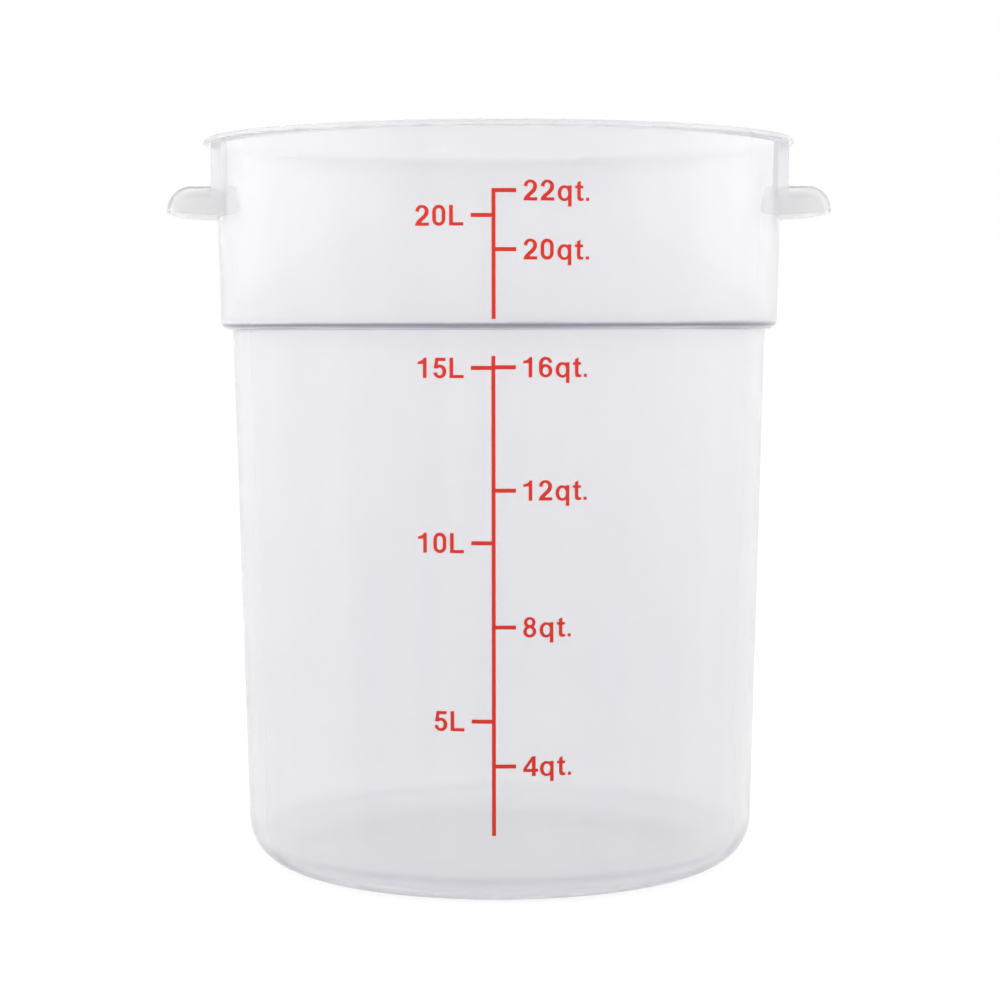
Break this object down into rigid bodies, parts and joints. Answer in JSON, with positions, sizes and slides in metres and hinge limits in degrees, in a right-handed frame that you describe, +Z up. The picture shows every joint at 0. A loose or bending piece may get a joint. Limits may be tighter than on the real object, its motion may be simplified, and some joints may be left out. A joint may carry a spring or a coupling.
{
  "type": "dough proofing container",
  "caption": "Tall round translucent food container with a tapered body, wider collar, flat rim flange, hooded side grips and a printed volume scale.",
  "frame": {"origin": "centre of the flat base, on the surface that the container stands on", "axes": "+Z up the container's axis to the rim, the two hooded grips along +X and -X, the printed scale on the -Y side"},
  "size_m": [0.3532, 0.314, 0.3856],
  "materials": {
    "clear_plastic": "gloss",
    "red_ink": "satin"
  },
  "bodies": {
    "root": {"vessel": "clear_plastic", "scale_line_body": "red_ink", "scale_line_collar": "red_ink", "figures_4qt": "red_ink", "figures_5L": "red_ink", "figures_8qt": "red_ink", "figures_10L": "red_ink", "figures_12qt": "red_ink", "figures_15L": "red_ink", "figures_16qt": "red_ink", "figures_20qt": "red_ink", "figures_20L": "red_ink", "figures_22qt": "red_ink"}
  },
  "joints": []
}
